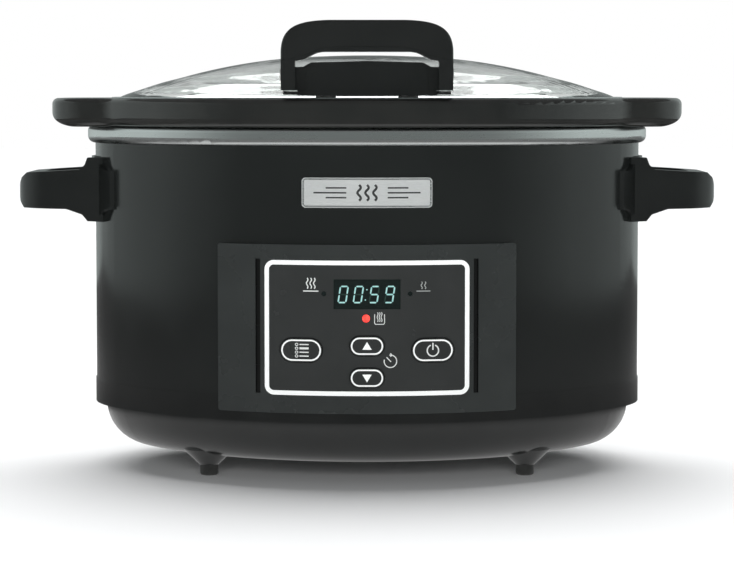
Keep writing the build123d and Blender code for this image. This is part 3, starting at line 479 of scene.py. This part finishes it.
def ink_tree():
    tree = bpy.data.node_groups.new("ink_on_the_drum", "GeometryNodeTree")
    new_socket(tree, "Drawing", "NodeSocketGeometry")
    for name in ("Line Width", "Film", "Surface Radius", "Arc Centre"):
        new_socket(tree, name, "NodeSocketFloat")
    new_socket(tree, "Ink", "NodeSocketMaterial")
    new_socket(tree, "Print", "NodeSocketGeometry", "OUTPUT")
    nodes = Nodes(tree)
    given = nodes.tree.nodes.new("NodeGroupInput")
    drawing, width, film, radius, centre, ink = (Wire(nodes, given.outputs[i]) for i in range(6))
    path = nodes.add("GeometryNodeMeshToCurve", {}, {"Mesh": drawing})
    bead = nodes.add(
        "GeometryNodeCurvePrimitiveCircle", {"mode": "RADIUS"}, {"Resolution": 8, "Radius": width / 2}
    )
    swept = nodes.add(
        "GeometryNodeCurveToMesh", {}, {"Curve": path, "Profile Curve": bead, "Fill Caps": True}
    )
    spot = nodes.add("GeometryNodeInputPosition")
    parts = nodes.tree.nodes.new("ShaderNodeSeparateXYZ")
    nodes.put(parts.inputs[0], spot)
    x, y, z = (Wire(nodes, parts.outputs[i]) for i in range(3))
    laid = centre - (radius * radius - x * x).root() + y * (film / width)
    place = nodes.add("ShaderNodeCombineXYZ", {}, {"X": x, "Y": laid, "Z": z})
    wrapped = nodes.add("GeometryNodeSetPosition", {}, {"Geometry": swept, "Position": place})
    real = nodes.add("GeometryNodeRealizeInstances", {}, {"Geometry": wrapped})
    inked = nodes.add("GeometryNodeSetMaterial", {}, {"Geometry": real, "Material": ink})
    smooth = nodes.add("GeometryNodeSetShadeSmooth", {}, {"Geometry": inked})
    nodes.add("NodeGroupOutput", {}, {0: smooth})
    return tree


INK_TREE = ink_tree()
print("ink tree:", len(INK_TREE.nodes), "nodes")

# %% From a tree to a plain mesh
def grown(name, mesh, tree, inputs):
    """The tree's result on a mesh, as a plain mesh object at the origin"""
    seed = bpy.data.objects.new(name, mesh)
    bpy.context.scene.collection.objects.link(seed)
    modifier = seed.modifiers.new("grow", "NODES")
    modifier.node_group = tree
    keys = {item.name: item.identifier for item in tree.interface.items_tree if item.in_out == "INPUT"}
    for label, value in inputs.items():
        modifier[keys[label]] = value
    bpy.context.view_layer.update()
    evaluated = seed.evaluated_get(bpy.context.evaluated_depsgraph_get())
    result = bpy.data.meshes.new_from_object(evaluated)
    seed.modifiers.clear()
    seed.data = result
    return seed


STEP = 0.8


def stepped(points, closed):
    """The same line with no edge longer than the step, so that it can follow the arc"""
    ahead = points[1:] + (points[:1] if closed else [])
    filled = []
    for here, there in zip(points, ahead):
        count = max(1, math.ceil(math.dist(here, there) / STEP))
        filled += [tuple(here[k] + (there[k] - here[k]) * i / count for k in (0, 1)) for i in range(count)]
    return filled if closed else filled + [points[-1]]


def edges_mesh(name, lines):
    """A mesh of bare edges from lines of (x, z) in millimetres; a line ends with True if it closes"""
    corners, edges = [], []
    for ends, closed in lines:
        points = stepped(ends, closed)
        first = len(corners)
        corners += [(x * MM, 0.0, z * MM) for x, z in points]
        count = len(points)
        edges += [(first + i, first + i + 1) for i in range(count - 1)]
        if closed:
            edges.append((first + count - 1, first))
    mesh = bpy.data.meshes.new(name)
    mesh.from_pydata(corners, edges, [])
    return mesh


INK_FILM = 0.05 * MM
PRINT_PROUD = {"panel": 2.42, "button": 3.42, "window": 2.22, "badge": 1.01}


def printed(name, lines, width, surface, ink, body):
    inputs = {
        "Line Width": width * MM,
        "Film": INK_FILM,
        "Surface Radius": FRONT_RADIUS + PRINT_PROUD[surface] * MM,
        "Arc Centre": ARC_CENTRE,
        "Ink": ink,
    }
    piece = grown(name, edges_mesh(name, lines), INK_TREE, inputs)
    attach(piece, body)
    print(f"{name}: {len(piece.data.polygons)} faces")
    return piece


# %% [markdown]
# ## Drawing the icons
# An icon is drawn from four strokes: a straight line, an arc, a wave and a ring with round ends.
# Heat is three waves over a bar, low heat two, and keeping warm is waves in an open pot. Power and
# timer are open rings with a hand. These are the plain signs that any cooker may carry.

# %% Strokes
def line(*points):
    return (list(points), False)


def arc(x, z, radius, start, sweep, steps=28):
    turns = [math.radians(start + sweep * i / steps) for i in range(steps + 1)]
    closed = abs(sweep) >= 360
    points = [(x + radius * math.cos(a), z + radius * math.sin(a)) for a in turns]
    return (points[:-1] if closed else points, closed)


def wave(x, low, high, swing, turns=1.5, steps=24):
    spread = [i / steps for i in range(steps + 1)]
    points = [(x + swing * math.sin(2 * math.pi * turns * t), low + (high - low) * t) for t in spread]
    return (points, False)


def stadium(x, z, width, height, steps=18):
    radius = height / 2
    points = []
    for side, start in ((1, -90), (-1, 90)):
        middle = x + side * (width / 2 - radius)
        for i in range(steps + 1):
            a = math.radians(start + 180 * i / steps)
            points.append((middle + radius * math.cos(a), z + radius * math.sin(a)))
    return (points, True)


def button_middle(name):
    low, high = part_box(name)
    return (low.x + high.x) / 2 / MM, (low.z + high.z) / 2 / MM


# %% Icons on the overlay
HIGH_X, LOW_X, BAR_Z = -30.0, 30.1, 107.1
high_heat = [line((HIGH_X - 4.1, BAR_Z), (HIGH_X + 4.1, BAR_Z))]
high_heat += [wave(HIGH_X + step, BAR_Z + 1.3, BAR_Z + 7.0, 0.42) for step in (-1.9, 0.0, 1.9)]
printed("icon_high_heat", high_heat, 0.62, "panel", icon_ink_painted_glow, "base")

low_heat = [line((LOW_X - 3.7, BAR_Z), (LOW_X + 3.7, BAR_Z))]
low_heat += [wave(LOW_X + step, BAR_Z + 1.1, BAR_Z + 5.0, 0.32) for step in (-0.95, 0.95)]
printed("icon_low_heat", low_heat, 0.5, "panel", faint_ink, "base")

POT_X, POT_Z = 6.7, 92.6
pot = [
    line(
        (POT_X - 2.6, POT_Z + 2.3), (POT_X - 2.7, POT_Z - 2.3), (POT_X - 2.2, POT_Z - 3.1),
        (POT_X + 2.2, POT_Z - 3.1), (POT_X + 2.7, POT_Z - 2.3), (POT_X + 2.6, POT_Z + 2.3),
    )
]
pot += [wave(POT_X + step, POT_Z - 1.8, POT_Z + 3.3, 0.24) for step in (-1.05, 0.0, 1.05)]
printed("icon_keep_warm", pot, 0.42, "panel", icon_ink_painted_glow, "base")

TIMER_X, TIMER_Z, TIMER_R = 12.5, 69.7, 3.35
timer_top = TIMER_Z + TIMER_R
timer = [
    arc(TIMER_X, TIMER_Z, TIMER_R, 100, -295),
    line((TIMER_X - 2.1, TIMER_Z + 2.2), (TIMER_X, TIMER_Z), (TIMER_X + 0.35, TIMER_Z - 0.35)),
    line((TIMER_X, timer_top + 0.9), (TIMER_X + 0.7, timer_top), (TIMER_X, timer_top - 0.9)),
]
printed("icon_timer", timer, 0.55, "panel", icon_ink_painted_glow, "base")

# %% [markdown]
# ## Rings and signs on the buttons
# Each button is its own body and moves in when pressed, so its print rides on it and is a piece of
# its own. The ring keeps just inside the rounded edge of the cap. The solid arrows are stamped, not
# swept: a flat outline given a little thickness, with every corner laid on the arc.

# %% Stamped shapes
def stamp(name, outlines, surface, ink, body, raise_by=0.045):
    """Flat outlines, in x and z, made solid films on the drum's front"""
    skin = bmesh.new()
    for points in outlines:
        rings = []
        for proud in (PRINT_PROUD[surface] + raise_by, PRINT_PROUD[surface] - 0.05):
            rings.append([skin.verts.new((x * MM, front(x * MM, proud * MM), z * MM)) for x, z in points])
        skin.faces.new(rings[0])
        skin.faces.new(rings[1][::-1])
        for i in range(len(points)):
            j = (i + 1) % len(points)
            skin.faces.new((rings[0][j], rings[0][i], rings[1][i], rings[1][j]))
    bmesh.ops.recalc_face_normals(skin, faces=skin.faces)
    mesh = bpy.data.meshes.new(name)
    skin.to_mesh(mesh)
    skin.free()
    mesh.materials.append(ink)
    piece = bpy.data.objects.new(name, mesh)
    bpy.context.scene.collection.objects.link(piece)
    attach(piece, body)
    print(f"{name}: {len(outlines)} shapes")
    return piece


def rectangle(x, z, width, height):
    w, h = width / 2, height / 2
    return [(x - w, z - h), (x + w, z - h), (x + w, z + h), (x - w, z + h)]


# %% Button prints
RING_INSET, RING_WIDTH = 1.05, 0.85
FLANGE = 1.2
for name in ("button_mode", "button_up", "button_down", "button_power"):
    low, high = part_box(name)
    x, z = button_middle(name)
    width = (high.x - low.x) / MM - 2 * FLANGE - 2 * RING_INSET
    height = (high.z - low.z) / MM - 2 * FLANGE - 2 * RING_INSET
    ring = [stadium(x, z, width, height)]
    printed(name + "_ring", ring, RING_WIDTH, "button", finishes["white_ink"], name)

for name, up in (("button_up", 1), ("button_down", -1)):
    x, z = button_middle(name)
    arrow = [(x - 2.5, z - 1.9 * up), (x + 2.5, z - 1.9 * up), (x, z + 2.3 * up)]
    stamp(name + "_arrow", [arrow], "button", finishes["white_ink"], name)

x, z = button_middle("button_power")
power = [arc(x, z - 0.1, 3.05, 112, 316), line((x, z + 4.0), (x, z + 0.2))]
printed("button_power_sign", power, 0.72, "button", icon_ink_painted_glow, "button_power")

x, z = button_middle("button_mode")
rows = [-3.1, -1.05, 1.05, 3.1]
boxes = [stadium(x - 2.4, z + row, 1.5, 1.25, 4) for row in rows]
printed("button_mode_boxes", boxes, 0.42, "button", icon_ink_painted_glow, "button_mode")
bars = [rectangle(x + 1.6, z + row, 4.9, 1.1 if row > 0 and row < 2 else 0.6) for row in rows]
stamp("button_mode_bars", bars, "button", icon_ink_painted_glow, "button_mode")

# %% [markdown]
# ## The clock digits
# The display has four seven-segment digits and a colon. A segment is a thin bar with pointed ends,
# and the whole digit leans a little, as vacuum and LED displays do. The lit segments glow pale cyan
# through the smoked window, and the unlit ones are given a faint green glow, which is painted light.
# They are films on the window, so they stay crisp in any view.

# %% Seven segments
DIGIT_W, DIGIT_H, STROKE, LEAN, SEGMENT_GAP = 4.1, 8.6, 0.78, 0.15, 0.22
LIT = {"0": "abcdef", "5": "acdfg", "9": "abcdfg"}
window_low, window_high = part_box("display_window")
clock_z = (window_low.z + window_high.z) / 2 / MM - 0.1


def lean(points, x, z):
    return [(x + px + pz * LEAN, z + pz) for px, pz in points]


def bar_segment(cx, cz, length, upright):
    """A six-cornered bar about its own middle"""
    s, half = STROKE / 2, length / 2 - SEGMENT_GAP
    flat = [(-half, 0), (s - half, -s), (half - s, -s), (half, 0), (half - s, s), (s - half, s)]
    if upright:
        return [(cx - pz, cz + px) for px, pz in flat]
    return [(cx + px, cz + pz) for px, pz in flat]


def digit_segments():
    w, h = DIGIT_W / 2, DIGIT_H / 2
    spots = {"a": (0, h, False), "g": (0, 0, False), "d": (0, -h, False)}
    spots.update({"b": (w, h / 2, True), "c": (w, -h / 2, True)})
    spots.update({"f": (-w, h / 2, True), "e": (-w, -h / 2, True)})
    return {key: bar_segment(x, z, h if up else DIGIT_W, up) for key, (x, z, up) in spots.items()}


lit, unlit = [], []
for x, digit in zip((-12.7, -4.6, 3.9, 12.1), "0059"):
    for key, points in digit_segments().items():
        (lit if key in LIT[digit] else unlit).append(lean(points, x, clock_z))
for rise in (2.6, -2.9):
    lit.append(lean(rectangle(-0.45, rise, 0.62, 0.62), 0, clock_z))
stamp("clock_lit", lit, "window", lit_segment, "base")
stamp("clock_unlit", unlit, "window", unlit_segment_painted_glow, "base", raise_by=0.02)

# %% [markdown]
# ## Ribs across the grooves
# The two upright grooves beside the panel are bridged by three thin ribs each, which stop them from
# closing as the moulding shrinks. Six of the same small block in two columns is a job for instances:
# a point at each place, one block, and Realize Instances at the end because an exported model holds
# no instances.

# %% The rib tree
def rib_tree():
    tree = bpy.data.node_groups.new("groove_ribs", "GeometryNodeTree")
    new_socket(tree, "Spots", "NodeSocketGeometry")
    new_socket(tree, "Rib Size", "NodeSocketVector")
    new_socket(tree, "Plastic", "NodeSocketMaterial")
    new_socket(tree, "Ribs", "NodeSocketGeometry", "OUTPUT")
    nodes = Nodes(tree)
    given = nodes.tree.nodes.new("NodeGroupInput")
    spots, size, plastic = (Wire(nodes, given.outputs[i]) for i in range(3))
    block = nodes.add("GeometryNodeMeshCube", {}, {"Size": size})
    placed = nodes.add("GeometryNodeInstanceOnPoints", {}, {"Points": spots, "Instance": block})
    real = nodes.add("GeometryNodeRealizeInstances", {}, {"Geometry": placed})
    painted = nodes.add("GeometryNodeSetMaterial", {}, {"Geometry": real, "Material": plastic})
    nodes.add("NodeGroupOutput", {}, {0: painted})
    return tree


RIB_DEEP, RIB_TALL, RIB_APART, RIB_PROUD = 0.75, 0.55, 21.2, 1.75
spots = bpy.data.meshes.new("rib_spots")
rib_heights = [GROOVE_MIDDLE + step for step in (-RIB_APART, 0.0, RIB_APART)]
columns = [(side * GROOVE_X * MM, z * MM) for side in (-1, 1) for z in rib_heights]
spots.from_pydata([(x, front(x, RIB_PROUD * MM), z) for x, z in columns], [], [])
rib_size = ((GROOVE_W + 0.8) * MM, RIB_DEEP * MM, RIB_TALL * MM)
# the ribs share the panel plastic, so the painted groove shade darkens them where they cross the grooves
rib_inputs = {"Rib Size": rib_size, "Plastic": finishes["panel_plastic"]}
ribs = grown("groove_ribs", spots, rib_tree(), rib_inputs)
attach(ribs, "base")
print("ribs:", len(ribs.data.polygons), "faces")

# %% [markdown]
# ## The badge
# The badge is a satin plate with a raised line round its edge. It carries a plain motif: three
# steam waves between two level lines. It's drawn with the same strokes as the icons.

# %% Badge motif
plate_low, plate_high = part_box("nameplate")
badge_z = (plate_low.z + plate_high.z) / 2 / MM
badge_w = (plate_high.x - plate_low.x) / MM
badge_h = (plate_high.z - plate_low.z) / MM
waves = [wave(step, badge_z - 4.2, badge_z + 4.2, 0.9) for step in (-4.2, 0.0, 4.2)]
printed("badge_waves", waves, 1.25, "badge", badge_ink, "base")
level = [line((side * 11.0, badge_z), (side * 28.5, badge_z)) for side in (-1, 1)]
level += [line((side * 11.0, badge_z + 2.6), (side * 22.0, badge_z + 2.6)) for side in (-1, 1)]
level += [line((side * 11.0, badge_z - 2.6), (side * 22.0, badge_z - 2.6)) for side in (-1, 1)]
printed("badge_lines", level, 0.8, "badge", badge_ink, "base")


def rounded_frame(x, z, width, height, radius, steps=8):
    points = []
    for sx, sz, start in ((1, -1, -90), (1, 1, 0), (-1, 1, 90), (-1, -1, 180)):
        for i in range(steps + 1):
            a = math.radians(start + 90 * i / steps)
            cx, cz = x + sx * (width / 2 - radius), z + sz * (height / 2 - radius)
            points.append((cx + radius * math.cos(a), cz + radius * math.sin(a)))
    return (points, True)


edge = rounded_frame(0, badge_z, badge_w - 1.5, badge_h - 1.5, 1.5)
printed("badge_edge", [edge], 0.7, "badge", finishes["silver_trim"], "base")

# %% [markdown]
# ## The studio
# Black gloss shows nothing but what it reflects, so the studio is made of what should be seen in it:
# a pale table that the ring and the rounded edges pick up, and a curved wall round the object, dim
# all the way with a soft box on each side. The wall is seen only in reflections. A wide soft sun from
# above and behind gives the shadow under the foot, and the world is white.

# %% Table and reflected wall
FLOOR_BACK, FLOOR_FRONT, FLOOR_SIDE = 8.0, -2.5, 8.0


def pale_floor():
    f = Finish("pale_floor")
    colour = f.blend(f.cloud(3, 2.0), (0.93, 0.935, 0.94), (0.95, 0.955, 0.96))
    return f.done(**sockets(base_color=colour, roughness=f.cloud(6, 2.0, 0.8, 0.9)))


def stage_plane(name, corners, material):
    mesh = bpy.data.meshes.new(name)
    mesh.from_pydata(corners, [], [(0, 1, 2, 3)])
    mesh.materials.append(material)
    plane = bpy.data.objects.new(name, mesh)
    bpy.context.scene.collection.objects.link(plane)
    return plane


table_corners = [
    (-FLOOR_SIDE, FLOOR_FRONT, 0), (FLOOR_SIDE, FLOOR_FRONT, 0),
    (FLOOR_SIDE, FLOOR_BACK, 0), (-FLOOR_SIDE, FLOOR_BACK, 0),
]
floor = stage_plane("floor", table_corners, pale_floor())
floor.visible_glossy = False

CARD_HALF, CARD_DROP = 1.4, 0.001
# how bright the card on the table is at each distance from the object's middle, in metres
CARD_LIGHT = [
    (0.0, 0.24), (0.20, 0.78), (0.25, 0.68), (0.30, 0.18), (0.42, 0.15), (0.60, 0.24), (1.0, 0.15),
]


def card_finish():
    """Light from the table, falling off with distance, for reflections alone"""
    f = Finish("table_card")
    flat = f.add("ShaderNodeVectorMath", {"operation": "MULTIPLY"}, {0: f.place, 1: (1.0, 1.0, 0.0)})
    reach = f.add("ShaderNodeVectorMath", {"operation": "LENGTH"}, {0: flat}, out="Value")
    stops = [(reach_m, (light, light, light)) for reach_m, light in CARD_LIGHT]
    glow = f.add("ShaderNodeValToRGB", {"stops": stops}, {0: reach})
    shine = f.add("ShaderNodeEmission", {}, {"Color": glow, "Strength": 1.0})
    f.add("ShaderNodeOutputMaterial", {}, {"Surface": shine})
    return f.material


def seen_in_reflections_only(thing):
    thing.visible_camera = thing.visible_diffuse = thing.visible_transmission = thing.visible_shadow = False


card_corners = [
    (-CARD_HALF, -CARD_HALF, -CARD_DROP), (CARD_HALF, -CARD_HALF, -CARD_DROP),
    (CARD_HALF, CARD_HALF, -CARD_DROP), (-CARD_HALF, CARD_HALF, -CARD_DROP),
]
seen_in_reflections_only(stage_plane("table_card", card_corners, card_finish()))

WALL_RADIUS, WALL_LOW, WALL_HIGH, WALL_SIDES = 3.4, -1.6, 2.6, 96
WALL_DIM, WALL_TINT = 0.20, (0.91, 1.0, 0.98)
# a soft box on each side: bearing of its middle, half its width, its fading edge (degrees), its light
SOFT_BOXES = [(-115, 30, 35, 0.45), (115, 30, 35, 0.45)]


def wall_finish():
    """A dim wall with a soft box on each side, for reflections alone"""
    f = Finish("studio_wall")
    x = f.add("ShaderNodeSeparateXYZ", {}, {"Vector": f.place}, out=0)
    y = f.add("ShaderNodeSeparateXYZ", {}, {"Vector": f.place}, out=1)
    bearing = x.maths("ARCTAN2", x, y * -1.0) * math.degrees(1)
    level = WALL_DIM
    for middle, half, fade, light in SOFT_BOXES:
        away = bearing - middle
        level = level + ((half + fade - away.maths("ABSOLUTE", away)) / fade).clamped() * light
    glow = f.blend(level, (0, 0, 0), WALL_TINT)
    shine = f.add("ShaderNodeEmission", {}, {"Color": glow, "Strength": 1.0})
    f.add("ShaderNodeOutputMaterial", {}, {"Surface": shine})
    return f.material


def reflected_wall():
    mesh = bpy.data.meshes.new("studio_wall")
    turns = [2 * math.pi * i / WALL_SIDES for i in range(WALL_SIDES)]
    ring = [(WALL_RADIUS * math.sin(a), -WALL_RADIUS * math.cos(a)) for a in turns]
    corners = [(x, y, z) for z in (WALL_LOW, WALL_HIGH) for x, y in ring]
    pairs = [(i, (i + 1) % WALL_SIDES) for i in range(WALL_SIDES)]
    faces = [(i, j, j + WALL_SIDES, i + WALL_SIDES) for i, j in pairs]
    mesh.from_pydata(corners, [], faces)
    mesh.materials.append(wall_finish())
    wall = bpy.data.objects.new("studio_wall", mesh)
    bpy.context.scene.collection.objects.link(wall)
    seen_in_reflections_only(wall)
    return wall


reflected_wall()

# %% World and lamps
# how much of the white air reaches the eye through the lid, and what it gives off to everything else
THROUGH_GLASS, DIM_AIR, WHITE_AIR = 0.82, (0.18, 0.183, 0.185), (1.0, 1.0, 1.0)
SUN_ENERGY, SUN_SPREAD, SUN_HEADING = 3.7, 70, (0.0, -0.58, -1.0)
FILL_PLACE, FILL_TARGET, FILL_WIDTH, FILL_HEIGHT, FILL_WATTS = (0.0, -2.3, 0.55), (0, 0, 0.12), 1.6, 0.5, 24


def studio_world():
    world = bpy.data.worlds.new("studio")
    world.use_nodes = True
    nodes = Nodes(world.node_tree)
    path = nodes.tree.nodes.new("ShaderNodeLightPath")
    straight = Wire(nodes, path.outputs["Is Camera Ray"])
    through = Wire(nodes, path.outputs["Is Transmission Ray"]) * THROUGH_GLASS
    colour = nodes.blend((straight + through).clamped(), DIM_AIR, WHITE_AIR)
    air = nodes.add("ShaderNodeBackground", {}, {"Color": colour, "Strength": 1.0})
    nodes.add("ShaderNodeOutputWorld", {}, {"Surface": air})
    bpy.context.scene.world = world


def soft_lamp(name, place, target, width, depth, watts):
    """A soft box that lights the object but shows in none of its reflections"""
    data = bpy.data.lights.new(name, "AREA")
    data.shape, data.size, data.size_y, data.energy = "RECTANGLE", width, depth, watts
    lamp = bpy.data.objects.new(name, data)
    lamp.location = place
    lamp.rotation_euler = (Vector(target) - Vector(place)).to_track_quat("-Z", "Y").to_euler()
    lamp.visible_camera = lamp.visible_transmission = lamp.visible_glossy = False
    bpy.context.scene.collection.objects.link(lamp)


studio_world()
sun = bpy.data.lights.new("skylight", "SUN")
sun.energy, sun.angle = SUN_ENERGY, math.radians(SUN_SPREAD)
sky = bpy.data.objects.new("skylight", sun)
sky.rotation_euler = Vector(SUN_HEADING).to_track_quat("-Z", "Y").to_euler()
sky.visible_glossy = False
bpy.context.scene.collection.objects.link(sky)
soft_lamp("front_fill", FILL_PLACE, FILL_TARGET, FILL_WIDTH, FILL_HEIGHT, FILL_WATTS)
scene = bpy.context.scene
scene.view_settings.view_transform = "Standard"
print("studio ready")

# %% [markdown]
# ## The camera
# A long lens from a little above, straight in front, keeps the oval's ends from swelling. The object
# fills the frame from handle tip to handle tip.

# %% Camera
CAMERA_BACK, CAMERA_HEIGHT, LENS, PITCH = 1.597, 0.216, 136.0, 4.1
camera = bpy.data.cameras.new("camera")
camera.lens, camera.sensor_width = LENS, 36.0
camera.clip_start, camera.clip_end = 0.05, 50.0
stand = bpy.data.objects.new("camera", camera)
stand.location = (0.0, drum_middle - CAMERA_BACK, CAMERA_HEIGHT)
stand.rotation_euler = Euler((math.radians(90 - PITCH), 0, 0))
scene.collection.objects.link(stand)
scene.camera = stand
print("camera at", [round(v, 3) for v in stand.location])
